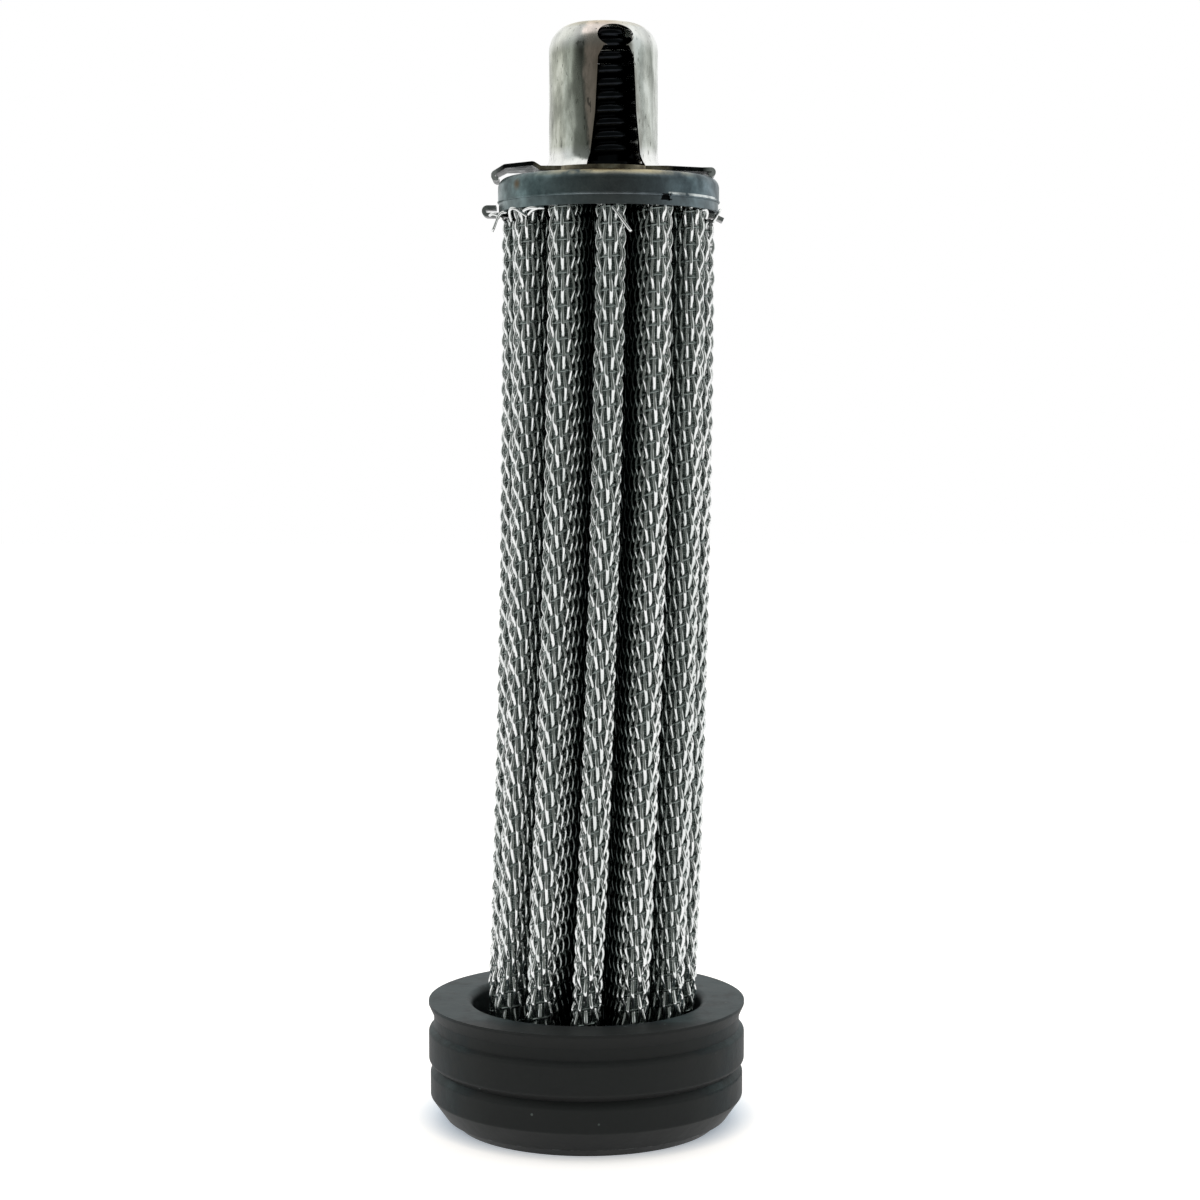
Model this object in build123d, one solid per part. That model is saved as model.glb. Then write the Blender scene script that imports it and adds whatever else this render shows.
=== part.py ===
"""Pleated wire-mesh oil strainer with a relief valve on its top and a rubber sealing collar round its foot.

Millimetres, +Z up. The origin is the centre of the collar's underside, where the strainer stands.
The front, with the valve cage's first window, faces -Y. The collar is upright. The pack above it is
bent towards +X, as on the used strainer, and comes level again at the end cap.
"""

from build123d import *
import math
import os

# fits
hand_fit = 0.08
close_fit = 0.02
running_gap = 0.3

# rubber collar, radii and the heights of its steps from the floor up
collar_height = 15.6
collar_foot_r = 16.4
collar_foot_top_r = 17.4
collar_foot_height = 1.1
collar_skirt_r = 17.9
collar_skirt_drop = 2.6
lower_rib_r = 19.75
lower_rib_height = 2.9
groove_r = 19.1
groove_height = 1.6
upper_rib_r = 19.95
upper_rib_height = 3.7
neck_r = 19.3
neck_height = 1.9
lip_height = 0.35
rib_round = 0.45
collar_bore_r = 14.4
collar_bore_floor = 8.4
collar_mouth_r = 10.8
collar_mouth_round = 0.9

# pack: its length from under the lower cup to the top of the end cap, and how it stands
pack_length = 115.2
pack_foot_height = 3.2
pack_foot_x = 0.15
pack_tilt = 2.6
pack_twist = 5.6
first_pleat_angle = -94.0
pack_stations = 6

# pleats
pleat_count = 12
pack_r = 13.1
pleat_tip_r = 1.75
valley_ring_r = 7.2
valley_r = 0.4
ridge_count = 5
ridge_height = 0.2
gap_rows = 10
gap_width = 0.5
gap_height = 3.6

# the three layers of the pleats, from the outside in
outer_mesh_wall = 0.5
filter_mesh_wall = 0.15
inner_mesh_wall = 0.35
layer_gap = 0.03

# cup and cap over the ends of the pack, and the cast rings inside them
sheet = 0.5
cap_height = 4.2
cap_edge_round = 1.25
cap_step_height = 1.25
cap_step = 0.1
cap_bead_height = 0.3
cap_bead = 0.1
cap_notch_turn = 32.6
cap_notch_width = 1.5
cap_notch_height = 0.6
cap_notch_depth = 0.3
cap_roll = 0.12
cap_roll_arc = 44.0
cap_hole_r = 3.6
cup_height = 4.4
cup_edge_round = 0.9
cup_hole_r = 4.6
bond_height = 1.0

# slotted tube in the middle
core_r = 5.65
core_wall = 0.5
core_slot_columns = 6
core_slot_rows = 8
core_slot_width = 2.2
core_slot_height = 7.5

# folded strip that closes the pleated sheet, in a valley at the back
seam_sheet = 0.25
seam_valley = 6
seam_outer_r = 11.3

# strips over and under the end cap
strip_sheet = 0.5
upper_strip_reach = 13.8
upper_strip_width = 10.6
upper_strip_end_width = 4.4
upper_strip_bow = 0.6
upper_strip_bow_run = 0.9
upper_strip_bow_fall = 0.2
upper_strip_bend_r = 0.5
upper_hem_r = 0.58
upper_hem_length = 0.9
upper_hem_level = 0.45
upper_strip_shoulder = 1.7
lower_strip_left_reach = 15.0
lower_strip_right_reach = 14.8
lower_strip_width = 3.0
lower_strip_ear = 1.3
lower_strip_ear_drop = 0.6
lower_hem_r = 0.7
lower_hem_length = 1.75

# relief valve
valve_shift = -0.63
washer_r = 5.5
washer_flange_r = 7.2
washer_flange_height = 0.6
plate_r = 5.1
plate_sheet = 0.6
guide_height = 11.5
spring_wire_r = 0.4
spring_r = 4.1
spring_pitch = 1.7
spring_turn = -40
cage_r = 6.72
cage_sheet = 0.6
cage_height = 18.85
cage_shoulder_r = 3.4
cage_foot_r = 7.4
cage_foot_slope = 45
cage_foot_bend = 1.9
window_count = 2
window_turn = 13.9
window_eye_width = 4.5
window_eye_height = 2.9
window_eye_level = 16.7
window_neck_width = 3.1
window_neck_level = 15.45
window_shoulder_width = 4.5
window_shoulder_level = 14.1
window_waist_width = 5.2
window_waist_level = 7.4
window_knee_width = 6.3
window_knee_level = 2.5
window_foot_width = 8.2

pitch_angle = 360 / pleat_count
pack_bend_r = pack_length / math.radians(pack_tilt)
tip_ring_r = pack_r - pleat_tip_r
filter_depth = outer_mesh_wall + layer_gap
inner_depth = filter_depth + filter_mesh_wall + layer_gap
pleats_foot = sheet + bond_height
pleats_top = pack_length - sheet - bond_height
shell_r = pack_r + hand_fit + sheet
lower_strip_level = pack_length - cap_height - strip_sheet - hand_fit
washer_height = washer_flange_height + strip_sheet
spring_room = cage_height - cage_sheet - washer_height - plate_sheet


def pack_frame(along, turn=0):
    """Where a section of the pack lies: its axis is an arc that ends upright at the end cap."""
    tilt = math.radians(pack_tilt) * (1 - along / pack_length)
    foot_tilt = math.radians(pack_tilt)
    x = pack_foot_x + pack_bend_r * (math.cos(tilt) - math.cos(foot_tilt))
    z = pack_foot_height + pack_bend_r * (math.sin(foot_tilt) - math.sin(tilt))
    return Location((x, 0, z), (0, math.degrees(tilt), 0)) * Location((0, 0, 0), (0, 0, turn))


def pleat_turn(along):
    """Angle of the first pleat's tip at this section."""
    return first_pleat_angle + pack_twist * along / pack_length


def valve_frame():
    """Top face of the end cap, on the valve's axis."""
    return pack_frame(pack_length) * Pos(valve_shift, 0, 0)


def polar(radius, angle):
    return Vector(radius * math.cos(math.radians(angle)), radius * math.sin(math.radians(angle)))


def bent_sheet(path, thickness, side):
    """Section of a bent sheet with one face on the path and the other on the given side of it."""
    return make_face(offset(path, thickness, side=side))


def turned(section):
    """Solid of revolution, from a section drawn as radius and height."""
    return revolve(Plane.XZ * section, Axis.Z)


def ring(outer_r, inner_r, height):
    """Flat ring that stands on z = 0."""
    return extrude(Circle(outer_r) - Circle(inner_r), height)


def flank_angle():
    """Direction of the normal of a pleat's flank, seen from the middle of its tip."""
    tip = polar(tip_ring_r, 0)
    to_valley = polar(valley_ring_r, pitch_angle / 2) - tip
    lean = math.degrees(math.asin((pleat_tip_r + valley_r) / to_valley.length))
    return math.degrees(math.atan2(to_valley.Y, to_valley.X)) - 90 + lean


def pleat_outline(depth, ridged=False):
    """Face inside the pleats' outline at this depth under it: tips, straight flanks and valleys."""
    flank = flank_angle()
    bulges = ridge_count if ridged else 1
    edges = []
    for pleat in range(pleat_count):
        middle = pleat * pitch_angle
        tip = polar(tip_ring_r, middle)
        tip_r = pleat_tip_r - depth
        angles = [middle + flank * (2 * step / bulges - 1) for step in range(bulges + 1)]
        radii = [tip_r, *[tip_r - ridge_height] * (bulges - 1), tip_r]
        feet = [tip + polar(radius, angle) for radius, angle in zip(radii, angles)]
        for step in range(bulges):
            crest = tip + polar(tip_r, (angles[step] + angles[step + 1]) / 2)
            edges.append(ThreePointArc(feet[step], crest, feet[step + 1]))
        valley = polar(valley_ring_r, middle + pitch_angle / 2)
        reach = valley_r + depth
        valley_start = valley - polar(reach, middle + flank)
        valley_end = valley - polar(reach, middle + pitch_angle - flank)
        edges.append(Line(tip + polar(tip_r, middle + flank), valley_start))
        bottom = valley - polar(reach, middle + pitch_angle / 2)
        edges.append(ThreePointArc(valley_start, bottom, valley_end))
        next_tip = polar(tip_ring_r, middle + pitch_angle)
        edges.append(Line(valley_end, next_tip + polar(tip_r, middle + pitch_angle - flank)))
    return Face(Wire(edges))


def along_pack(section, start, end):
    """Lofts a section of the pleats along the bent and twisted pack."""
    places = [start + (end - start) * step / (pack_stations - 1) for step in range(pack_stations)]
    return loft([pack_frame(place, pleat_turn(place)) * section for place in places])


def strip_notch():
    """Cut in the pack's upper end that lets the lower strip through."""
    height = pleats_top - lower_strip_level
    width = lower_strip_width + 2 * hand_fit
    return pack_frame(lower_strip_level) * extrude(Rectangle(4 * pack_r, width), 2 * height)


def outer_mesh():
    """Coarse support weave: its wires ridge each pleat's tip, with open gaps between the ridges."""
    section = pleat_outline(0, ridged=True) - pleat_outline(outer_mesh_wall)
    layer = along_pack(section, pleats_foot, pleats_top)
    rows_start = cup_height + gap_height
    row_step = (lower_strip_level - gap_height - rows_start) / (gap_rows - 1)
    ridge_angle = 2 * flank_angle() / ridge_count
    gap = Box(4 * outer_mesh_wall, gap_width, gap_height)
    gaps = []
    for row in range(gap_rows):
        along = rows_start + row * row_step
        side = ridge_angle / 2 if row % 2 else -ridge_angle / 2
        for pleat in range(pleat_count):
            tip = pack_frame(along, pleat_turn(along) + pleat * pitch_angle) * Pos(tip_ring_r, 0, 0)
            gaps.append(tip * Rot(0, 0, side) * Pos(pleat_tip_r, 0, 0) * gap)
    return layer - gaps - strip_notch()


def plain_layer(depth, wall):
    layer = along_pack(pleat_outline(depth) - pleat_outline(depth + wall), pleats_foot, pleats_top)
    return layer - strip_notch()


def seam_clip():
    """Folded strip over the two edges of the pleated sheet. Its open side faces the pack's axis."""
    middle = (seam_valley + 0.5) * pitch_angle
    opening = math.radians(pitch_angle / 2 + 90 - flank_angle())
    inner_r = valley_ring_r

    def half_gap(radius):
        return valley_r / math.cos(opening) + (radius - valley_ring_r) * math.tan(opening) - hand_fit

    outer = Polyline(
        (inner_r, -half_gap(inner_r)),
        (seam_outer_r, -half_gap(seam_outer_r)),
        (seam_outer_r, half_gap(seam_outer_r)),
        (inner_r, half_gap(inner_r)),
    )
    fold_r = seam_outer_r - seam_sheet
    inner_gap, fold_gap = half_gap(inner_r) - seam_sheet / 2, half_gap(fold_r) - seam_sheet
    inner = Polyline((inner_r, inner_gap), (fold_r, fold_gap), (fold_r, -fold_gap), (inner_r, -inner_gap))
    lips = [Line(outer @ 1, inner @ 0), Line(inner @ 1, outer @ 0)]
    section = Rot(0, 0, middle) * make_face([outer, inner, *lips])
    return along_pack(section, pleats_foot, pleats_top)


def core_tube():
    """Slotted tube on the pack's axis, from the cup's floor to the lower strip."""
    start, end = sheet, lower_strip_level
    path = ThreePointArc(*(pack_frame(place).position for place in (start, (start + end) / 2, end)))
    section = pack_frame(start) * (Circle(core_r) - Circle(core_r - core_wall))
    tube = sweep(section, path=path)
    row_step = (end - start) / core_slot_rows
    slots = []
    for row in range(core_slot_rows):
        along = start + (row + 0.5) * row_step
        for column in range(core_slot_columns):
            turn = (column + 0.5 * (row % 2)) * 360 / core_slot_columns
            slot = Box(4 * core_wall, core_slot_width, core_slot_height)
            slots.append(pack_frame(along, turn) * Pos(core_r - core_wall / 2, 0, 0) * slot)
    return tube - slots


def bond(edge_round):
    """Cast ring that fills an end of the shell, from z = 0 up, with the shell's rounded corner at its top."""
    height = bond_height - close_fit
    outer_r = shell_r - sheet - close_fit
    inner_r = core_r + hand_fit
    corners = [(inner_r, 0), (outer_r, 0), (outer_r, height), (inner_r, height)]
    section = make_face(Polyline(*corners, close=True))
    corner = section.vertices().sort_by(lambda vertex: vertex.X + vertex.Y)[-1]
    return turned(fillet(corner, edge_round - sheet))


def lower_bond():
    return pack_frame(pleats_foot) * Rot(180, 0, 0) * bond(cup_edge_round)


def upper_bond():
    return pack_frame(pleats_top) * bond(cap_edge_round)


def lower_cup():
    """Pressed cup under the pack, with the oil's way in through its floor."""
    path = FilletPolyline((cup_hole_r, 0), (shell_r, 0), (shell_r, cup_height), radius=cup_edge_round)
    return pack_frame(0) * turned(bent_sheet(path, sheet, Side.LEFT))


def end_cap():
    """Pressed cap over the pack, with a fine bead and a step in above its lip.

    The bead ends at a small dent, and is rolled higher to the right of it.
    """
    path = FilletPolyline((0, 0), (shell_r, 0), (shell_r, -cap_height), radius=cap_edge_round)
    cap = turned(bent_sheet(path, sheet, Side.RIGHT))
    step_top = -cap_height + cap_step_height
    bead = Pos(shell_r - cap_bead, step_top) * Ellipse(2 * cap_bead, cap_bead_height / 2)
    roll = Pos(shell_r, step_top) * Ellipse(cap_roll, cap_bead_height / 2)
    dent_side = Rot(0, 0, cap_notch_turn - 90)
    cap += turned(bead)
    lip_height = cap_step_height - cap_bead_height / 2
    cap -= Pos(0, 0, -cap_height) * ring(2 * shell_r, shell_r - cap_step, lip_height)
    cap += dent_side * revolve(Plane.XZ * roll, Axis.Z, cap_roll_arc)
    dent_level = step_top - (cap_bead_height + cap_notch_height) / 2
    dent = Box(2 * cap_notch_depth, cap_notch_width, cap_notch_height)
    cap -= dent_side * Pos(shell_r, -cap_notch_width / 2, dent_level) * dent
    hole = Pos(valve_shift, 0, -2 * sheet) * extrude(Circle(cap_hole_r), 4 * sheet)
    inside = Pos(0, 0, -cap_height) * extrude(Circle(shell_r - sheet), cap_height - sheet - bond_height)
    return pack_frame(pack_length) * (cap - hole - inside)


def upper_strip():
    """Sprung strip under the cage's feet, with its ends curled under on the cap's edge."""
    middle = washer_flange_height + strip_sheet / 2
    flat = washer_flange_r + strip_sheet
    tip = upper_strip_reach - strip_sheet / 2
    shoulder = upper_strip_reach - upper_strip_shoulder
    hem_drop = 2 * upper_hem_r - strip_sheet
    bow = middle + upper_strip_bow

    def curl(level):
        """Points of the curled end, on the sheet's middle line, from its top down and back in."""
        low = level - hem_drop
        return [(tip, level), (tip, low), (upper_strip_reach - upper_hem_length, low)]

    left = [
        (flat, middle),
        (flat + upper_strip_bow_run, bow),
        (shoulder, bow - upper_strip_bow_fall),
        *curl(upper_hem_level),
    ]
    right = curl(strip_sheet / 2 + close_fit + hem_drop)
    points = [(-x, z) for x, z in reversed(left)] + [(shoulder, middle)] + right
    hem = [hem_drop / 2 - close_fit] * 2
    radii = [*hem, *[upper_strip_bend_r] * (len(points) - 6), *hem]
    section = trace(FilletPolyline(*points, radius=radii), strip_sheet)
    band = extrude(Plane.XZ * section, cage_foot_r, both=True)
    half, end_half = upper_strip_width / 2, upper_strip_end_width / 2
    corner = (upper_strip_reach + strip_sheet, end_half)
    arms = Polyline(
        (-corner[0], -corner[1]),
        (-flat, -half),
        (flat, -half),
        (corner[0], -corner[1]),
        corner,
        (flat, half),
        (-flat, half),
        (-corner[0], corner[1]),
        close=True,
    )
    plan = extrude(make_face(arms) + Circle(cage_foot_r), 2 * cap_height, both=True)
    way = extrude(Circle(washer_r + hand_fit), 2 * washer_height, both=True)
    return valve_frame() * ((band & plan) - way)


def lower_strip():
    """Strip through the pack on the end of the core tube. One end is folded back up, the other bent down."""
    middle = strip_sheet / 2
    tip = lower_strip_left_reach - middle
    hem_rise = 2 * lower_hem_r - strip_sheet
    path = FilletPolyline(
        (lower_hem_length - lower_strip_left_reach, middle + hem_rise),
        (-tip, middle + hem_rise),
        (-tip, middle),
        (lower_strip_right_reach - lower_strip_ear, middle),
        (lower_strip_right_reach, middle - lower_strip_ear_drop),
        radius=[hem_rise / 2 - close_fit, hem_rise / 2 - close_fit, strip_sheet],
    )
    arms = extrude(Plane.XZ * trace(path, strip_sheet), lower_strip_width / 2, both=True)
    way_r = core_r - core_wall - hand_fit
    way = extrude(Circle(way_r), 2 * strip_sheet, both=True)
    seat = ring(core_r, way_r, strip_sheet)
    return pack_frame(lower_strip_level) * (Pos(valve_shift, 0, 0) * arms - way + seat)


def seat_washer():
    """Stepped washer: the valve's seat in its middle, and a flange that the upper strip lies on."""
    flange = ring(washer_flange_r, cap_hole_r, washer_flange_height)
    return valve_frame() * (flange + ring(washer_r, cap_hole_r, washer_height))


def valve_plate():
    """Pressed plate on the washer, with a drawn guide that stands inside the spring."""
    guide_r = spring_r - spring_wire_r - running_gap
    path = FilletPolyline(
        (0, plate_sheet + guide_height),
        (guide_r, plate_sheet + guide_height),
        (guide_r, plate_sheet),
        (plate_r, plate_sheet),
        radius=[plate_sheet * 2, plate_sheet / 3],
    )
    return valve_frame() * Pos(0, 0, washer_height) * turned(bent_sheet(path, plate_sheet, Side.RIGHT))


def valve_spring():
    """Open coil spring with ground ends, between the plate and the top of the cage."""
    inner_shoulder = cage_shoulder_r - cage_sheet
    overhang = max(0, spring_r + spring_wire_r - (cage_r - cage_shoulder_r))
    shoulder_drop = inner_shoulder - math.sqrt(inner_shoulder**2 - overhang**2)
    length = spring_room - shoulder_drop - close_fit
    path = Helix(spring_pitch, length, spring_r)
    section = Plane(origin=path @ 0, z_dir=path % 0) * Circle(spring_wire_r)
    coil = sweep(section, path=path, is_frenet=True)
    between = extrude(Circle(2 * spring_r), length - close_fit)
    foot = washer_height + plate_sheet + close_fit
    return valve_frame() * Location((0, 0, foot), (0, 0, spring_turn)) * (coil & between)


def cage_window():
    """Outline of one window: a round eye in the shoulder, a neck, and a slot that widens down to the feet."""
    levels = [
        (window_neck_width, window_neck_level),
        (window_shoulder_width, window_shoulder_level),
        (window_waist_width, window_waist_level),
        (window_knee_width, window_knee_level),
        (window_foot_width, 0),
    ]
    right = [(width / 2, level) for width, level in levels]
    left = [(-x, level) for x, level in reversed(right)]
    slot = make_face(Polyline(*right, *left, close=True))
    eye = Pos(0, window_eye_level) * Ellipse(window_eye_width / 2, window_eye_height / 2)
    return slot + eye


def valve_cage():
    """Drawn dome with windows down to its flared feet, which stand on the upper strip."""
    foot_height = (cage_foot_r - cage_r) / math.tan(math.radians(cage_foot_slope))
    path = FilletPolyline(
        (0, cage_height),
        (cage_r, cage_height),
        (cage_r, washer_height + foot_height),
        (cage_foot_r + foot_height, washer_height - foot_height),
        radius=[cage_shoulder_r, cage_foot_bend],
    )
    dome = turned(bent_sheet(path, cage_sheet, Side.RIGHT))
    dome -= extrude(Circle(2 * cage_foot_r), washer_height)
    dome -= mirror(extrude(Circle(2 * cage_foot_r), cage_height), Plane.XY)
    window = extrude(Plane.XZ * cage_window(), 2 * cage_foot_r)
    for number in range(window_count):
        turn = window_turn + number * 360 / window_count
        dome -= Rot(0, 0, turn) * window
    return valve_frame() * dome


def rubber_collar():
    """Moulded collar: a foot, two sealing ribs with a groove between them, a neck and a sharp lip."""
    lower_rib_base = collar_foot_height + collar_skirt_drop
    groove_base = lower_rib_base + lower_rib_height
    upper_rib_base = groove_base + groove_height
    neck_base = upper_rib_base + upper_rib_height
    outline = Polyline(
        (0, 0),
        (collar_foot_r, 0),
        (collar_foot_top_r, collar_foot_height),
        (collar_skirt_r, collar_foot_height),
        (lower_rib_r, lower_rib_base),
        (lower_rib_r, groove_base),
        (groove_r, groove_base + groove_height / 2),
        (upper_rib_r, upper_rib_base),
        (upper_rib_r, neck_base),
        (neck_r, neck_base + rib_round),
        (neck_r, neck_base + neck_height),
        (upper_rib_r, collar_height - lip_height),
        (upper_rib_r, collar_height),
        (0, collar_height),
        close=True,
    )
    section = make_face(outline)
    corners = section.vertices().filter_by(lambda corner: corner.X > groove_r)
    ribs = corners.filter_by(lambda corner: lower_rib_base <= corner.Y <= neck_base)
    body = turned(fillet(ribs, rib_round))
    body -= Pos(0, 0, collar_bore_floor) * extrude(Circle(collar_bore_r), collar_height)
    mouth_edge = body.edges().filter_by(GeomType.CIRCLE).group_by(Axis.Z)[-1].sort_by(SortBy.RADIUS)[0]
    body = fillet(mouth_edge, collar_mouth_round)
    seat = pack_frame(0) * extrude(Circle(shell_r + close_fit), collar_height)
    return body - seat - extrude(Circle(collar_mouth_r), collar_bore_floor)


parts = {
    "rubber_collar": rubber_collar(),
    "lower_cup": lower_cup(),
    "lower_bond": lower_bond(),
    "core_tube": core_tube(),
    "inner_mesh": plain_layer(inner_depth, inner_mesh_wall),
    "filter_mesh": plain_layer(filter_depth, filter_mesh_wall),
    "outer_mesh": outer_mesh(),
    "seam_clip": seam_clip(),
    "upper_bond": upper_bond(),
    "end_cap": end_cap(),
    "lower_strip": lower_strip(),
    "upper_strip": upper_strip(),
    "seat_washer": seat_washer(),
    "valve_plate": valve_plate(),
    "valve_spring": valve_spring(),
    "valve_cage": valve_cage(),
}

os.makedirs("parts", exist_ok=True)
for node, shape in parts.items():
    export_step(shape, f"parts/{node}.step")
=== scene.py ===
import bpy
import math
import numpy as np
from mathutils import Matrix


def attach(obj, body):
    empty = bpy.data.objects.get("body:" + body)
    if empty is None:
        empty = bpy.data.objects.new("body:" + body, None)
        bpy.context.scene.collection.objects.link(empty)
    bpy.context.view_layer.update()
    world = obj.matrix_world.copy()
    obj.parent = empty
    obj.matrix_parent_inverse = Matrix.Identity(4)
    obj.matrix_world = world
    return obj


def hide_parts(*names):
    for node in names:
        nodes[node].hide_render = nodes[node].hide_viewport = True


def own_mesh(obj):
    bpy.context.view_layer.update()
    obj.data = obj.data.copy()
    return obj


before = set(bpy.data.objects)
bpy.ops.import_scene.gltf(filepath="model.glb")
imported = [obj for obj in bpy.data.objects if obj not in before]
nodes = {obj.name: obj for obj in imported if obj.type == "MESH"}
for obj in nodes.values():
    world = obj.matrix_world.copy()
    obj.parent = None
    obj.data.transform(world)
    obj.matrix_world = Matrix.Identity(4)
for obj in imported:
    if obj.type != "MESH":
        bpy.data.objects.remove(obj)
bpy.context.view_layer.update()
print("frame loaded")

mm = 0.001


def colour(code):
    # sRGB hex to linear: a channel up to 0.04045 is divided by 12.92, and a higher one follows the
    # 2.4 power curve
    parts = [int(code[i:i + 2], 16) / 255 for i in (1, 3, 5)]
    return [c / 12.92 if c <= 0.04045 else ((c + 0.055) / 1.055) ** 2.4 for c in parts] + [1.0]


def add(tree, kind, inputs=None, stops=(), **settings):
    # one node with its settings: an input's value is a plain value or the socket that feeds it, and
    # a colour ramp's stops are places from 0 to 1, each with a hex colour
    node = tree.nodes.new("ShaderNode" + kind)
    for name, value in settings.items():
        setattr(node, name, value)
    for name, value in (inputs or {}).items():
        if isinstance(value, bpy.types.NodeSocket):
            tree.links.new(value, node.inputs[name])
        else:
            node.inputs[name].default_value = value
    for at, code in stops[1:-1]:
        node.color_ramp.elements.new(at)
    for number, (at, code) in enumerate(stops):
        node.color_ramp.elements[number].position = at
        node.color_ramp.elements[number].color = colour(code)
    return node


def perMetre(size):
    # the scale that gives a pattern features of this size in mm
    return 1 / (size * mm)


def startMaterial(name, **surface):
    # a material with its principled shader, whose sockets take the given values
    material = bpy.data.materials.new(name)
    material.use_nodes = True
    tree = material.node_tree
    shader = tree.nodes["Principled BSDF"]
    for socket, value in surface.items():
        shader.inputs[socket.replace("_", " ")].default_value = value
    return material, tree, shader


def dress(name, material):
    # a CAD node keeps its mesh and gets this material in every slot
    mesh = nodes[name].data
    mesh.materials.clear()
    mesh.materials.append(material)


def makePiece(name, points, faces, material, body, tone=None, uv=None):
    # points is an array of places in mm, and faces a list of index arrays, each with one number of
    # corners. tone and uv have a value for every point
    mesh = bpy.data.meshes.new(name)
    corners = np.concatenate([f.ravel() for f in faces])
    counts = np.concatenate([np.full(len(f), f.shape[1]) for f in faces])
    used, corners = np.unique(corners, return_inverse=True)
    mesh.vertices.add(len(used))
    mesh.vertices.foreach_set("co", (points[used] * mm).astype(np.float32).ravel())
    mesh.loops.add(len(corners))
    mesh.loops.foreach_set("vertex_index", corners.astype(np.int32).ravel())
    mesh.polygons.add(len(counts))
    mesh.polygons.foreach_set("loop_start", (np.cumsum(counts) - counts).astype(np.int32))
    mesh.update(calc_edges=True)
    mesh.polygons.foreach_set("use_smooth", np.ones(len(counts), bool))
    if tone is not None:
        layer = mesh.attributes.new("tone", "FLOAT", "POINT")
        layer.data.foreach_set("value", tone[used].astype(np.float32))
    if uv is not None:
        layer = mesh.uv_layers.new(name="cloth")
        layer.data.foreach_set("uv", uv[used][corners.ravel()].astype(np.float32).ravel())
    mesh.materials.append(material)
    piece = bpy.data.objects.new(name, mesh)
    bpy.context.scene.collection.objects.link(piece)
    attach(piece, body)
    return piece


def triangleCount(piece):
    return sum(len(p.vertices) - 2 for p in piece.data.polygons)


# the pleated pack, the same form as the CAD layers: its axis is an arc that is upright at the cap
pack = {
    "length": 115.2,
    "footX": 0.15,
    "footZ": 3.2,
    "tilt": 2.6,  # degrees at the foot
    "twist": 5.6,  # degrees from foot to cap
    "firstTip": -94.0,  # degrees, the front pleat at the foot
    "pleats": 12,
    "tipRing": 11.35,
    "tipR": 1.75,
    "valleyRing": 7.2,
    "valleyR": 0.4,
    "start": 1.5,  # the pleats' ends, inside the cup and the cap
    "end": 113.7,
    "notchLevel": 110.45,  # above this the lower strip passes through
    "notchHalf": 1.62,  # mm to each side of its middle
    "shadeFrom": 0.9,  # painted shade on the wires sets in from this share of a tip's arc inwards,
    "shadeReach": 0.7,  # and is full after this share of the flank
}


def place(along, u, v):
    # a point of a level section: the arc's place at this distance along it, plus u and v turned
    # with its tilt
    foot = math.radians(pack["tilt"])
    tilt = foot * (1 - along / pack["length"])
    bend = pack["length"] / foot
    x = pack["footX"] + bend * (np.cos(tilt) - math.cos(foot)) + u * np.cos(tilt)
    z = pack["footZ"] + bend * (math.sin(foot) - np.sin(tilt)) - u * np.sin(tilt)
    return np.stack([x, v + 0 * x, z], axis=-1)


def lobeSizes(depth):
    # half a lobe at this depth under its outside: the tip's arc, the flank and half the valley's
    # arc, from the tangent that touches both circles
    step = math.pi / pack["pleats"]
    dx = pack["valleyRing"] * math.cos(step) - pack["tipRing"]
    dy = pack["valleyRing"] * math.sin(step)
    reach = math.hypot(dx, dy)
    both = pack["tipR"] + pack["valleyR"]
    flank = math.atan2(dy, dx) - math.pi / 2 + math.asin(both / reach)
    tip = (pack["tipR"] - depth) * flank
    side = math.sqrt(reach**2 - both**2)
    valley = (pack["valleyR"] + depth) * (flank - step)
    return flank, tip, side, valley, step


def lobeLength(depth):
    # the way along the pleats from one tip to the next: twice the three parts of half a lobe
    flank, tip, side, valley, step = lobeSizes(depth)
    return 2 * (tip + side + valley)


def outline(s, depth, lift):
    # follows the pleats at this depth: an arc round each tip, a straight flank and an arc round
    # each valley. s is the way along it in mm from the first tip, lift moves the point outwards
    # along its normal, and inward goes from 0 on a tip to 1 down in the pleats
    flank, tip, side, valley, step = lobeSizes(depth)
    half = tip + side + valley
    lobe = np.round(s / (2 * half))
    way = s - lobe * 2 * half
    hand, way = np.where(way < 0, -1, 1), np.abs(way)
    tipR, valleyR = pack["tipR"] - depth, pack["valleyR"] + depth
    rounding = flank - (way - tip - side) / valleyR
    angle = np.where(way < tip, way / tipR, np.where(way < tip + side, flank, rounding))
    nu, nv = np.cos(angle), np.sin(angle)
    run = np.clip(way - tip, 0, side)
    onTipU = pack["tipRing"] + tipR * nu - run * math.sin(flank)
    onTipV = tipR * nv + run * math.cos(flank)
    onValleyU = pack["valleyRing"] * math.cos(step) - valleyR * nu
    onValleyV = pack["valleyRing"] * math.sin(step) - valleyR * nv
    inValley = way > tip + side
    u = np.where(inValley, onValleyU, onTipU) + lift * nu
    v = (np.where(inValley, onValleyV, onTipV) + lift * nv) * hand
    turn = lobe * 2 * step
    inward = np.clip((way - pack["shadeFrom"] * tip) / (pack["shadeReach"] * side), 0, 1)
    return u, v, nu, nv * hand, turn, inward


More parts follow.
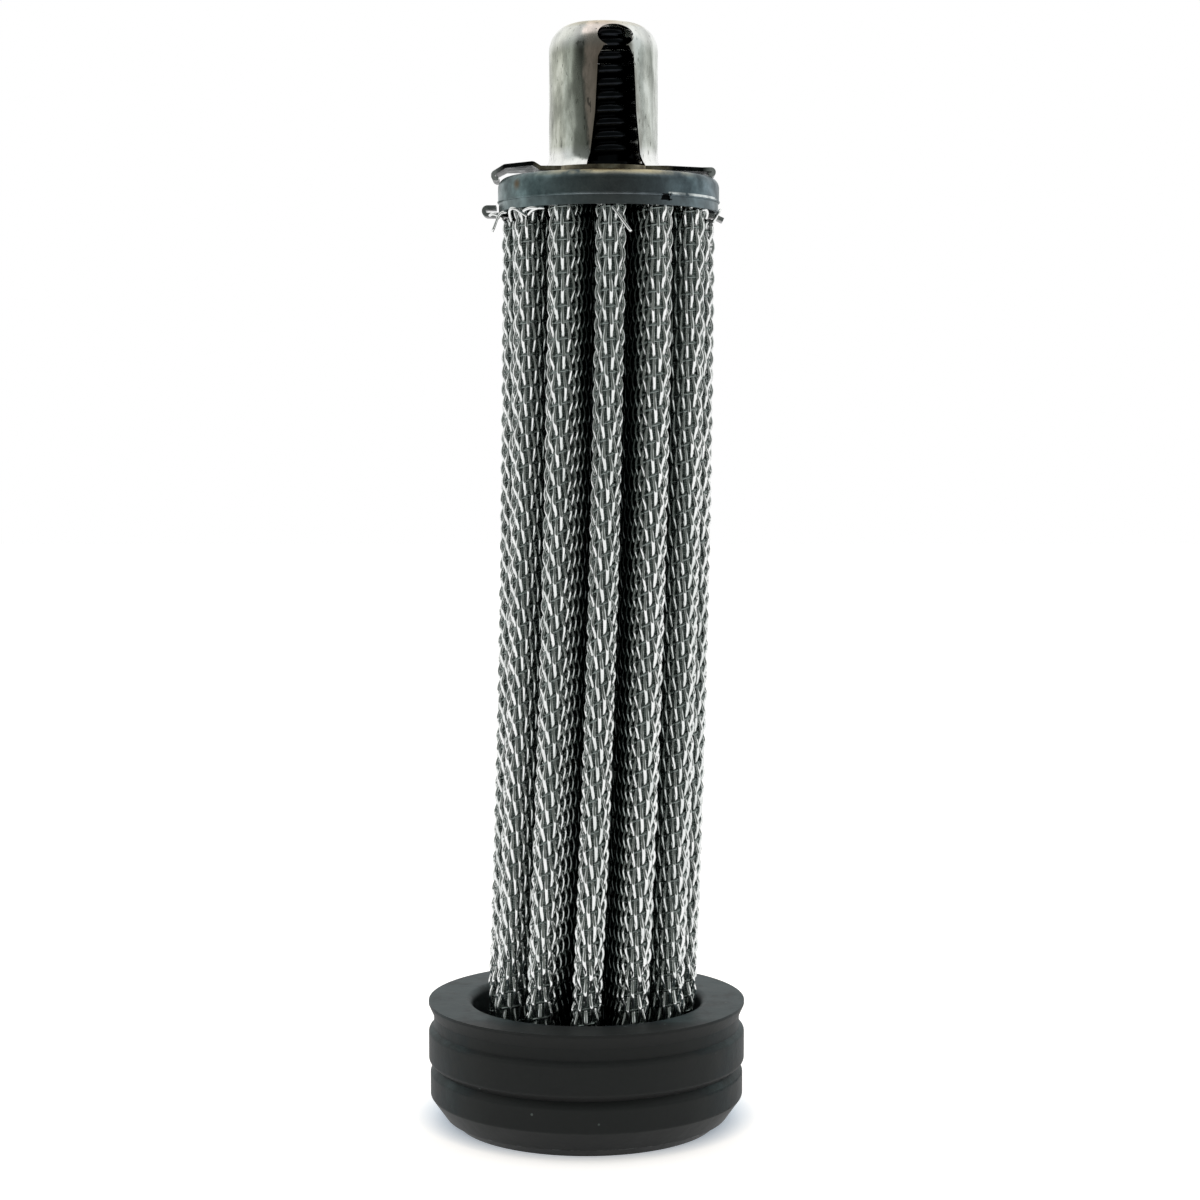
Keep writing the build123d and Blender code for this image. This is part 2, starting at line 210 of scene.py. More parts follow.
def onPack(s, along, depth, lift=0.0):
    # the outline's point and outward direction, turned to its lobe and with the pack's twist at
    # this height
    u, v, nu, nv, turn, inward = outline(s, depth, lift)
    twist = math.radians(pack["twist"]) * along / pack["length"]
    turn = turn + math.radians(pack["firstTip"]) + twist
    c, q = np.cos(turn), np.sin(turn)
    at = place(along, u * c - v * q, u * q + v * c)
    tilt = math.radians(pack["tilt"]) * (1 - along / pack["length"])
    ou, ov = nu * c - nv * q, nu * q + nv * c
    out = np.stack([ou * np.cos(tilt), ov, -ou * np.sin(tilt)], axis=-1)
    inNotch = (along > pack["notchLevel"]) & (np.abs(at[..., 1]) < pack["notchHalf"])
    return at, out, inward, inNotch


def wire(centre, out, radius, sides, keep):
    # rings round a centre line: out times the cosine plus side times the sine of each corner's
    # angle, joined where both neighbours are kept, with a flat face on each end
    along = np.gradient(centre, axis=1)
    side = np.cross(along, out)
    side /= np.linalg.norm(side, axis=-1, keepdims=True)
    out = np.cross(side, along)
    out /= np.linalg.norm(out, axis=-1, keepdims=True)
    # the half step turns a flat face of a four-sided wire outwards
    turn = (np.arange(sides) + 0.5) * 2 * np.pi / sides
    onOut, onSide = np.cos(turn)[:, None], np.sin(turn)[:, None]
    ring = onOut * out[:, :, None, :] + onSide * side[:, :, None, :]
    radius = np.broadcast_to(radius, keep.shape)[:, :, None, None]
    points = (centre[:, :, None, :] + radius * ring).reshape(-1, 3)
    index = np.arange(keep.size * sides).reshape(*keep.shape, sides)
    here, there = index[:, :-1], index[:, 1:]
    walls = np.stack([here, np.roll(here, -1, 2), np.roll(there, -1, 2), there], axis=-1)
    joined = keep[:, :-1] & keep[:, 1:]
    before = np.pad(joined, ((0, 0), (1, 0)))
    after = np.pad(joined, ((0, 0), (0, 1)))
    starts, ends = index[after & ~before][:, ::-1], index[before & ~after]
    return points, [walls[joined].reshape(-1, 4), starts, ends]


# coarse support weave: upright wires close together round the pack, and cross wires 2 mm apart
weave = {
    "wireR": 0.27,  # mm out to a corner, so an upright wire is 0.38 mm wide and a cross wire 0.27
    "crossR": 0.19,
    "upright": 264,  # wires round the whole outline
    "rowPitch": 1.98,
    "rowsPerTurn": 12,  # rows that a cross wire climbs in one turn
    # mm that an upright wire goes left for each mm up, at some heights
    "drift": [(0, 0.05), (30, 0.1), (75, 0.1), (100, 0.03), (115, 0.0)],
    "depth": 0.32,  # mm from the pleats' outside to the wires' middle
    "uprightCrimp": 0.25,  # mm that the wires swing in and out
    "crossCrimp": 0.06,
    "crossSink": 0.04,  # mm that the cross wires lie deeper
    "calmEnd": 3,  # mm over which an upright wire's crimp dies down to a share of it at the ends
    "calmShare": 0.3,
    # mm that a cross wire climbs for each mm round a tip, at some heights
    "rise": [(0, 0.20), (12, 0.22), (30, 0.42), (50, 0.55), (75, 0.50), (95, 0.12), (115, 0.08)],
    "meanRise": 0.13,  # and round a whole lobe, for a first guess at its height
    "sides": 4,
    "samplesPerRow": 4,
    "waver": 0.05,  # mm that an upright wire strays from side to side
    "secondWaver": 0.6,  # a second, faster waver's share of that
    "waverPace": (0.31, 0.83),  # radians for each mm up, of both
    "uprightPieces": 4,
    "crossPieces": 2,
    # how dark the wires are: on the tips a random oil tone up to this, down in the pleats painted
    # shade, and on the cross wires painted shade, overall and down in the pleats
    "tipOil": 0.4,
    "deepShade": 0.95,
    "crossShade": (0.8, 0.2),
    "brightLobe": 11,  # the lobe whose right flank gets painted light, between these heights
    "brightFrom": 16,
    "brightTo": 90,
    "brightEnd": 8,  # mm over which it fades at its ends, and at its sides
    "brightSide": 0.3,
    "brightReach": 0.9,  # the share of the flank that gets the painted light
    "litFlankLift": 0.3,  # the share of the tone that the painted light takes off
}


def litFlank(s, along, depth):
    # the painted light's mask: 1 on the bright lobe's right flank and 0 elsewhere, with soft ends:
    # the ways from its four edges, each divided by its fade, cut to 0 to 1 and multiplied
    flank, tip, side, valley, step = lobeSizes(depth)
    lobe = 2 * (tip + side + valley)
    way = (s - weave["brightLobe"] * lobe + lobe / 2) % (lobe * pack["pleats"]) - lobe / 2
    toEnd = np.minimum(along - weave["brightFrom"], weave["brightTo"] - along)
    ends = np.clip(toEnd / weave["brightEnd"], 0, 1)
    fromTip = np.clip((way - tip) / weave["brightSide"], 0, 1)
    toValley = np.clip((tip + weave["brightReach"] * side - way) / weave["brightSide"], 0, 1)
    return ends * fromTip * toValley


def rowRise(s, along):
    # how far a cross wire has climbed at s: a steady climb, plus a sine over each lobe that gives
    # the slope at its tip
    lobe = lobeLength(weave["depth"])
    steady = weave["rowPitch"] * weave["rowsPerTurn"] / pack["pleats"] / lobe
    tipSlope = np.interp(along, *zip(*weave["rise"]))
    return steady * s + (tipSlope - steady) * lobe / (2 * np.pi) * np.sin(2 * np.pi * s / lobe)


def drifted(along):
    # how far an upright wire has gone left at this height: the drift added up from below the foot
    heights = np.linspace(-10, 130, 281)
    slope = np.interp(heights, *zip(*weave["drift"]))
    return np.interp(along, heights, np.cumsum(slope) * (heights[1] - heights[0]))


def makeWires(name, count, centre, out, radius, keep, tone, material):
    # the wires in this many pieces, each with its share of whole wires
    sides = weave["sides"]
    for number, part in enumerate(np.array_split(np.arange(len(centre)), count)):
        points, faces = wire(centre[part], out[part], radius, sides, keep[part])
        shade = np.repeat(tone[part].ravel(), sides)
        piece = makePiece(f"{name}_{number + 1}", points, faces, material, "cartridge",
                          tone=shade)
        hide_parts("outer_mesh")
        print(piece.name, triangleCount(piece), "triangles")


def makeWeave(material):
    rng = np.random.default_rng(7)
    count = weave["upright"]
    pitch = lobeLength(weave["depth"]) * pack["pleats"] / count
    height = pack["end"] - pack["start"]
    # upright wires: s goes left with height, and the wire swings in and out as a cosine of the row
    # that it is at, and from side to side as two sines of its height
    number = np.arange(count)[:, None]
    samples = int(height / weave["rowPitch"] * weave["samplesPerRow"])
    along = np.linspace(pack["start"], pack["end"], samples)
    along = np.broadcast_to(along, (count, samples))
    phase = rng.uniform(0, 2 * np.pi, (count, 2))
    slow, fast = weave["waverPace"]
    first, second = np.sin(along * slow + phase[:, :1]), np.sin(along * fast + phase[:, 1:])
    waver = weave["waver"] * (first + weave["secondWaver"] * second)
    s = number * pitch - drifted(along) + waver
    row = (along - rowRise(s, along)) / weave["rowPitch"]
    toEnd = np.minimum(along - pack["start"], pack["end"] - along)
    calm = np.clip(toEnd / weave["calmEnd"], weave["calmShare"], 1)
    lift = weave["uprightCrimp"] * np.cos(np.pi * (row + number)) * calm
    centre, out, inward, inNotch = onPack(s, along, weave["depth"], lift)
    # painted shade: the tone darkens down in the pleats, over a random tone on the tips
    tipOil = rng.uniform(0, weave["tipOil"], count)[:, None]
    tone = tipOil * (1 - inward) + weave["deepShade"] * inward
    # painted light: the bright lobe's right flank is painted lighter
    tone = tone * (1 - weave["litFlankLift"] * litFlank(s, along, weave["depth"]))
    makeWires("upright_wires", weave["uprightPieces"], centre, out, weave["wireR"], ~inNotch,
              tone, material)
    # cross wires: height is the row's own plus the climb, found in two steps because the climb
    # depends on the height, and they swing the other way by less
    rows = np.arange(-weave["rowsPerTurn"] - 1, int(height / weave["rowPitch"]) + 3)[:, None]
    s = np.arange(2 * count + 1)[None, :] * pitch / 2 + 0.0 * rows
    rowFoot = rows * weave["rowPitch"]
    along = rowFoot + rowRise(s, rowFoot + s * weave["meanRise"])
    along = rowFoot + rowRise(s, along)
    upright = (s + drifted(along)) / pitch
    lift = -weave["crossCrimp"] * np.cos(np.pi * (upright + rows)) - weave["crossSink"]
    centre, out, inward, inNotch = onPack(s, along, weave["depth"], lift)
    keep = (along > pack["start"]) & (along < pack["end"]) & ~inNotch
    # painted shade: the cross wires are darker, and more so down in the pleats
    least, more = weave["crossShade"]
    makeWires("cross_wires", weave["crossPieces"], centre, out, weave["crossR"], keep,
              least + more * inward, material)


# the two inner layers, in the places of their CAD solids
cloth = {
    "filter_mesh": {"piece": "fine_cloth", "depth": 0.78, "wall": 0.07,
                    "slot": "fine_wire_cloth"},
    "inner_mesh": {"piece": "inner_support", "depth": 0.86, "wall": 0.2, "slot": "woven_wire"},
    "stepsPerLobe": 36,
    "stepsUp": 40,
}


def makeLayer(node, material):
    # a closed wall: the outline at two depths on a grid of steps round it and up it, joined at
    # both ends. Its UV map is the way round and the height in metres
    size = cloth[node]
    around = cloth["stepsPerLobe"] * pack["pleats"]
    heights = np.linspace(pack["start"], pack["end"], cloth["stepsUp"])[:, None]
    walls, marks, tones = [], [], []
    for depth in (size["depth"], size["depth"] + size["wall"]):
        total = lobeLength(depth) * pack["pleats"]
        s, along = np.broadcast_arrays(np.arange(around)[None, :] * total / around, heights)
        walls.append(onPack(s, along, depth)[0])
        marks.append(np.stack([s, along], axis=-1))
        # the tone is the painted light on the bright lobe's flank
        tones.append(litFlank(s, along, depth))
    points = np.stack(walls).reshape(-1, 3)
    index = np.arange(2 * cloth["stepsUp"] * around).reshape(2, cloth["stepsUp"], around)
    faces = []
    outer, inner = index
    for grid, flip in ((outer, False), (inner, True)):
        a, b = grid[:-1], grid[1:]
        quad = np.stack([a, np.roll(a, -1, 1), np.roll(b, -1, 1), b], axis=-1).reshape(-1, 4)
        faces.append(quad[:, ::-1] if flip else quad)
    for a, b in ((inner[0], outer[0]), (outer[-1], inner[-1])):
        faces.append(np.stack([a, np.roll(a, -1), np.roll(b, -1), b], axis=-1))
    uv = np.stack(marks).reshape(-1, 2) * mm
    shade = np.stack(tones).ravel()
    piece = makePiece(size["piece"], points, faces, material, "cartridge",
                      uv=uv, tone=shade)
    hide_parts(node)
    print(piece.name, triangleCount(piece), "triangles")


def roundPlace(tree, centreX):
    # a point's place on an upright round piece: how far round it is, 0 and 1 at the back and 0.5
    # at the front, growing to the right, and its height
    where = add(tree, "TexCoord").outputs["Object"]
    at = add(tree, "SeparateXYZ", {0: where}).outputs
    side = add(tree, "Math", {0: at["X"], 1: centreX * mm}, operation="SUBTRACT").outputs[0]
    front = add(tree, "Math", {0: at["Y"], 1: -1.0}, operation="MULTIPLY").outputs[0]
    angle = add(tree, "Math", {0: side, 1: front}, operation="ARCTAN2").outputs[0]
    share = add(tree, "MapRange", {"Value": angle, "From Min": -math.pi,
                                   "From Max": math.pi}).outputs[0]
    return where, share, at["Z"]


# drawn steel wire with a thin zinc coating: bright strokes, with painted shade that darkens it down
# in the pleats and painted light on one flank
wireLook = {
    "coatAndShade": [(0.0, "#fafbfa"), (0.45, "#e6eae8"), (0.75, "#8d9693"), (1.0, "#3c4342")],
    "grime": "#5c6864",
    "grimeSize": 4.0,  # mm
    "grimeMost": 0.3,
    "grainSize": 1.1,
    "roughness": (0.04, 0.15),
}


def drawnWire():
    material, tree, shader = startMaterial("drawn_steel_wire", Metallic=1.0)
    # the tone carries painted shade down in the pleats and painted light on one flank
    tone = add(tree, "Attribute", attribute_name="tone").outputs["Fac"]
    coatAndShade = add(tree, "ValToRGB", {"Fac": tone}, stops=wireLook["coatAndShade"]).outputs[0]
    where = add(tree, "TexCoord").outputs["Object"]
    grime = add(tree, "TexNoise", {"Vector": where, "Scale": perMetre(wireLook["grimeSize"]),
                                   "Detail": 4.0}).outputs["Fac"]
    film = add(tree, "MapRange", {"Value": grime, "From Min": 0.5, "From Max": 0.8,
                                  "To Max": wireLook["grimeMost"]}).outputs[0]
    mixed = add(tree, "Mix", {0: film, 6: coatAndShade, 7: colour(wireLook["grime"])},
                data_type="RGBA").outputs[2]
    tree.links.new(mixed, shader.inputs["Base Color"])
    grain = add(tree, "TexNoise", {"Vector": where, "Scale": perMetre(wireLook["grainSize"]),
                                   "Detail": 2.0}).outputs["Fac"]
    low, high = wireLook["roughness"]
    rough = add(tree, "MapRange", {"Value": grain, "To Min": low, "To Max": high}).outputs[0]
    tree.links.new(rough, shader.inputs["Roughness"])
    return material


# fine stainless cloth: dim grey-green behind the wires, and painted pale on the bright lobe's
# flank as painted light. Its 0.1 mm threads are drawn 0.3 mm apart so that they show
clothLook = {
    "thread": 0.3,  # mm
    "threadRound": [(0.0, "#3f4847"), (0.6, "#6d7874"), (1.0, "#9caaa5")],
    # painted light: the pale colour of the bright lobe's flank
    "litFlank": "#d5ddda",
    "relief": 0.05,
}


def fineCloth():
    material, tree, shader = startMaterial("fine_wire_cloth", Metallic=0.7, Roughness=0.5)
    where = add(tree, "UVMap", uv_map="cloth").outputs["UV"]
    # a wave's bands repeat every 2 pi / 20 of its scaled coordinate
    scale = 2 * math.pi / 20 / (clothLook["thread"] * mm)
    across, up = (add(tree, "TexWave", {"Vector": where, "Scale": scale},
                      bands_direction=way).outputs["Fac"] for way in ("X", "Y"))
    height = add(tree, "Math", {0: across, 1: up}, operation="MAXIMUM").outputs[0]
    thread = add(tree, "ValToRGB", {"Fac": height}, stops=clothLook["threadRound"]).outputs[0]
    # painted light: the bright lobe's flank is painted pale
    tone = add(tree, "Attribute", attribute_name="tone").outputs["Fac"]
    mixed = add(tree, "Mix", {0: tone, 6: thread, 7: colour(clothLook["litFlank"])},
                data_type="RGBA").outputs[2]
    tree.links.new(mixed, shader.inputs["Base Color"])
    bump = add(tree, "Bump", {"Height": height, "Strength": 0.6,
                              "Distance": clothLook["relief"] * mm}).outputs[0]
    tree.links.new(bump, shader.inputs["Normal"])
    return material


# moulded nitrile rubber: matte black, with a grey-green bloom and dust that are also painted light
# and shade, lighter on faces that look up and darker on faces that look down and on the front, a
# painted highlight along the foot's top edge, and a few pale specks
rubber = {
    "dustSize": 3.5,  # mm
    "bloomAndShade": [(0.0, "#333434"), (0.35, "#333636"), (0.5, "#2e3436"), (0.75, "#333d3e"),
              (1.0, "#3f4c4e")],
    "oiled": (-15.5, -11.0),  # painted shade: y in mm between which the darker front ends
    "frontShadeBloom": 0.3,  # the share of the bloom that shows through that painted shade
    "speck": "#69716f",
    "speckCell": 1.6,
    "speckFrom": 0.93,  # only a cell whose random number is over this has a speck
    # painted highlight: a pale line along the foot's top edge
    "paintedGlint": "#8a9090",
    "paintedGlintLevel": (1.05, 0.13),  # mm, the height of the foot's top edge, and how far up and down
    "paintedGlintMost": 0.7,
    "skinSize": 0.5,
    "swellSize": 5.0,
}


def nitrileRubber():
    material, tree, shader = startMaterial("moulded_nitrile_rubber", Roughness=0.5,
                                           Specular_IOR_Level=0.12)
    source = add(tree, "TexCoord").outputs
    where = source["Object"]
    at = add(tree, "SeparateXYZ", {0: where}).outputs
    up = add(tree, "SeparateXYZ", {0: source["Normal"]}).outputs["Z"]
    dust = add(tree, "TexNoise", {"Vector": where, "Scale": perMetre(rubber["dustSize"]),
                                  "Detail": 7.0, "Roughness": 0.65}).outputs["Fac"]
    # bloom and dust grow from nothing on faces that look down to the most on faces that look up:
    # this is also painted shade below and painted light above
    lying = add(tree, "MapRange", {"Value": up, "From Min": -1.0, "From Max": 1.0,
                                   "To Max": 2.0}).outputs[0]
    dustAndLight = add(tree, "Math", {0: lying, 1: dust}, operation="MULTIPLY").outputs[0]
    # painted shade: the front keeps only a share of the bloom, so it stays darker
    shadedY, clear = rubber["oiled"]
    dry = add(tree, "MapRange", {"Value": at["Y"], "From Min": shadedY * mm, "From Max": clear * mm,
                                 "To Min": rubber["frontShadeBloom"]}).outputs[0]
    bloomAndShade = add(tree, "Math", {0: dustAndLight, 1: dry}, operation="MULTIPLY").outputs[0]
    base = add(tree, "ValToRGB", {"Fac": bloomAndShade}, stops=rubber["bloomAndShade"]).outputs[0]
    # specks are the middles of a few cells
    cells = add(tree, "TexVoronoi", {"Vector": where,
                                     "Scale": perMetre(rubber["speckCell"])}).outputs
    middle = add(tree, "MapRange", {"Value": cells["Distance"], "From Min": 0.13,
                                    "From Max": 0.06}).outputs[0]
    draw = add(tree, "SeparateColor", {0: cells["Color"]}).outputs[0]
    chosen = add(tree, "Math", {0: draw, 1: rubber["speckFrom"]},
                 operation="GREATER_THAN").outputs[0]
    specks = add(tree, "Math", {0: middle, 1: chosen}, operation="MULTIPLY").outputs[0]
    # painted highlight: the foot's top edge is painted pale in broken lines
    level, half = rubber["paintedGlintLevel"]
    edge = add(tree, "Math", {0: at["Z"], 1: level * mm, 2: half * mm},
               operation="COMPARE").outputs[0]
    patch = add(tree, "MapRange", {"Value": dust, "From Min": 0.48, "From Max": 0.6,
                                   "To Max": rubber["paintedGlintMost"]}).outputs[0]
    paintedGlint = add(tree, "Math", {0: edge, 1: patch}, operation="MULTIPLY").outputs[0]
    for cover, code in ((specks, "speck"), (paintedGlint, "paintedGlint")):
        base = add(tree, "Mix", {0: cover, 6: base, 7: colour(rubber[code])},
                   data_type="RGBA").outputs[2]
    tree.links.new(base, shader.inputs["Base Color"])
    skin = add(tree, "TexNoise", {"Vector": where, "Scale": perMetre(rubber["skinSize"]),
                                  "Detail": 4.0}).outputs["Fac"]
    swell = add(tree, "TexNoise", {"Vector": where, "Scale": perMetre(rubber["swellSize"]),
                                   "Detail": 2.0}).outputs["Fac"]
    pores = add(tree, "Bump", {"Height": skin, "Strength": 0.25, "Distance": 0.1 * mm}).outputs[0]
    bump = add(tree, "Bump", {"Height": swell, "Strength": 0.3, "Distance": 0.5 * mm,
                              "Normal": pores}).outputs[0]
    tree.links.new(bump, shader.inputs["Normal"])
    return material


# dull zinc plate on pressed steel: cloudy blue-grey, with a tint round it that is a painted
# reflection, a warm painted highlight on its upper edge, a painted highlight on the bead, painted
# shade in the hollow of the lip, and a rust-brown stain
zincCap = {
    "centre": 2.76,  # mm, the pack's axis at the cap
    # painted reflection: the tint round it, teal-grey on the left and blue-grey on the right
    "round": [(0.0, "#8d9a9c"), (0.3, "#76898a"), (0.38, "#74898b"), (0.44, "#7f8e91"),
              (0.5, "#868c8e"), (0.57, "#7d8990"), (0.63, "#72858c"), (0.7, "#72838b"),
              (1.0, "#8d9a9c")],
    "cloudSize": 2.6,
    "cloud": [(0.3, "#7c8082"), (0.5, "#c4c6c6"), (0.68, "#ffffff")],
    # painted highlight: a warm tint on the upper edge near the front
    "golden": "#cbbd95",
    "goldenLevel": (117.61, 118.26),  # heights between which the painted highlight sets in
    "goldenMiddle": 0.515,  # its middle, as a share of the way round, and where it fades and ends
    "goldenRound": (0.05, 0.14),
    "stain": "#5e4a2e",
    "stainAt": (-8.4, -8.0, 117.0),
    "stainSize": (0.2, 0.9),  # mm from its middle where it begins to fade, and where it ends
    "lip": "#c3cbcd",  # the lip under the bead is a little lighter
    "lipLevel": (115.3, 115.4),
    # painted highlight: the bead is painted bright between these heights and shares of the way
    # round
    "bead": "#e2e8e8",
    "beadLevel": (115.42, 115.72),
    "beadRound": (0.595, 0.7),
    "dent": "#131516",  # and painted shade fills the hollow in the lip
    "dentLevel": (114.75, 115.5),
    "dentRound": (0.5735, 0.592),
    "grainSize": 0.4,
}


def zincPlate():
    material, tree, shader = startMaterial("dull_zinc_plate", Metallic=1.0)
    where, share, height = roundPlace(tree, zincCap["centre"])
    cloud = add(tree, "TexNoise", {"Vector": where, "Scale": perMetre(zincCap["cloudSize"]),
                                   "Detail": 8.0, "Roughness": 0.62}).outputs["Fac"]
    wander = add(tree, "MapRange", {"Value": cloud, "To Min": -0.04, "To Max": 0.04}).outputs[0]
    around = add(tree, "Math", {0: share, 1: wander}).outputs[0]
    tint = add(tree, "ValToRGB", {"Fac": around}, stops=zincCap["round"]).outputs[0]
    shade = add(tree, "ValToRGB", {"Fac": cloud}, stops=zincCap["cloud"]).outputs[0]
    base = add(tree, "Mix", {0: 0.8, 6: tint, 7: shade}, data_type="RGBA",
               blend_type="MULTIPLY").outputs[2]
    patchy = add(tree, "MapRange", {"Value": cloud, "From Min": 0.35,
                                    "From Max": 0.55}).outputs[0]
    # painted highlight: a warm tint along the upper edge, near the front
    low, high = zincCap["goldenLevel"]
    edge = add(tree, "MapRange", {"Value": height, "From Min": low * mm,
                                  "From Max": high * mm}).outputs[0]
    aside = add(tree, "Math", {0: share, 1: zincCap["goldenMiddle"]},
                operation="SUBTRACT").outputs[0]
    off = add(tree, "Math", {0: aside}, operation="ABSOLUTE").outputs[0]
    fades, ends = zincCap["goldenRound"]
    near = add(tree, "MapRange", {"Value": off, "From Min": ends, "From Max": fades}).outputs[0]
    film = add(tree, "Math", {0: edge, 1: near}, operation="MULTIPLY").outputs[0]
    golden = add(tree, "Math", {0: film, 1: patchy}, operation="MULTIPLY").outputs[0]
    spot = add(tree, "VectorMath", {0: where, 1: [v * mm for v in zincCap["stainAt"]]},
               operation="DISTANCE").outputs["Value"]
    full, ends = zincCap["stainSize"]
    stain = add(tree, "MapRange", {"Value": spot, "From Min": ends * mm, "From Max": full * mm,
                                   "To Max": 0.75}).outputs[0]
    low, high = zincCap["lipLevel"]
    lip = add(tree, "MapRange", {"Value": height, "From Min": high * mm, "From Max": low * mm,
                                 "To Max": 0.12}).outputs[0]
    covers = {"golden": golden, "stain": stain, "lip": lip}
    # each patch is inside its heights and its shares of the way round, and the bead's is broken
    for name, broken in (("bead", patchy), ("dent", 1.0)):
        low, high = zincCap[name + "Level"]
        level = add(tree, "Math", {0: height, 1: (low + high) / 2 * mm, 2: (high - low) / 2 * mm},
                    operation="COMPARE").outputs[0]
        start, end = zincCap[name + "Round"]
        wide = add(tree, "Math", {0: around, 1: (start + end) / 2, 2: (end - start) / 2},
                   operation="COMPARE").outputs[0]
        inside = add(tree, "Math", {0: level, 1: wide}, operation="MULTIPLY").outputs[0]
        covers[name] = add(tree, "Math", {0: inside, 1: broken}, operation="MULTIPLY").outputs[0]
    for name, cover in covers.items():
        base = add(tree, "Mix", {0: cover, 6: base, 7: colour(zincCap[name])},
                   data_type="RGBA").outputs[2]
    tree.links.new(base, shader.inputs["Base Color"])
    rough = add(tree, "MapRange", {"Value": cloud, "From Min": 0.3, "From Max": 0.7,
                                   "To Min": 0.52, "To Max": 0.3}).outputs[0]
    tree.links.new(rough, shader.inputs["Roughness"])
    grain = add(tree, "TexNoise", {"Vector": where, "Scale": perMetre(zincCap["grainSize"]),
                                   "Detail": 4.0}).outputs["Fac"]
    bump = add(tree, "Bump", {"Height": grain, "Strength": 0.35,
                              "Distance": 0.05 * mm}).outputs[0]
    tree.links.new(bump, shader.inputs["Normal"])
    return material


# bright nickel plate on the drawn dome: a worn mirror with grey clouds and dark specks, and painted
# reflections round it: a brown band left of the window, a dark streak beside it and a grey streak
# on its right; painted highlights on the shoulder and the flared foot, and a yellow one on the
# crown
dome = {
    "centre": 2.13,  # mm
    "foot": 119.5,
    "crown": 137.2,
    "reflectionLean": 0.036,  # how far the painted dark reflection leans right at the foot, as a share of a whole turn
    # painted reflections round the dome: a dark streak, a brown band and a grey streak
    "round": [(0.0, "#d6d8d2"), (0.3, "#babdb2"), (0.385, "#d3d6ca"), (0.405, "#b4b6ad"),
              (0.415, "#8b8c85"), (0.428, "#9c9c95"), (0.442, "#f4ded2"), (0.475, "#ecd4c7"),
              (0.51, "#d8bfb1"), (0.6, "#e6eae6"), (0.635, "#c9cec9"), (0.655, "#979d97"),
              (0.68, "#d0d4cf"), (1.0, "#d6d8d2")],
    # lower down the painted dark reflection is only a thin line
    "roundLow": [(0.0, "#d6d8d2"), (0.3, "#babdb2"), (0.4, "#dde0d6"), (0.416, "#d8dad2"),
                 (0.421, "#a3a49d"), (0.426, "#c8c0b8"), (0.432, "#fae6da"), (0.475, "#ecd4c7"),
                 (0.51, "#d8bfb1"), (0.6, "#e6eae6"), (0.64, "#d3d8d3"), (0.655, "#b5bab5"),
                 (0.675, "#d0d4cf"), (1.0, "#d6d8d2")],
    "thinBelow": (128.5, 133.0),
    "cloudSize": 1.6,
    "cloud": [(0.32, "#8b8d87"), (0.48, "#d5d6d2"), (0.6, "#ffffff")],
    # painted highlight on the drawn shoulder and the flared foot: how much, from the foot to the
    # crown
    "paintedHighlight": [(0.0, "#d8d8d8"), (0.08, "#c8c8c8"), (0.14, "#000000"), (0.78, "#000000"),
               (0.86, "#a0a0a0"), (0.95, "#a0a0a0"), (1.0, "#000000")],
    # painted highlight: a yellow tint on the crown
    "crownHighlight": "#b3a67c",
    "crownHighlightDeep": (0.9, 0.1),  # mm under the crown between which the painted highlight's tint sets in
    "speck": "#5a5b55",
    "speckSize": 0.45,
    "dentSize": 6.0,
}


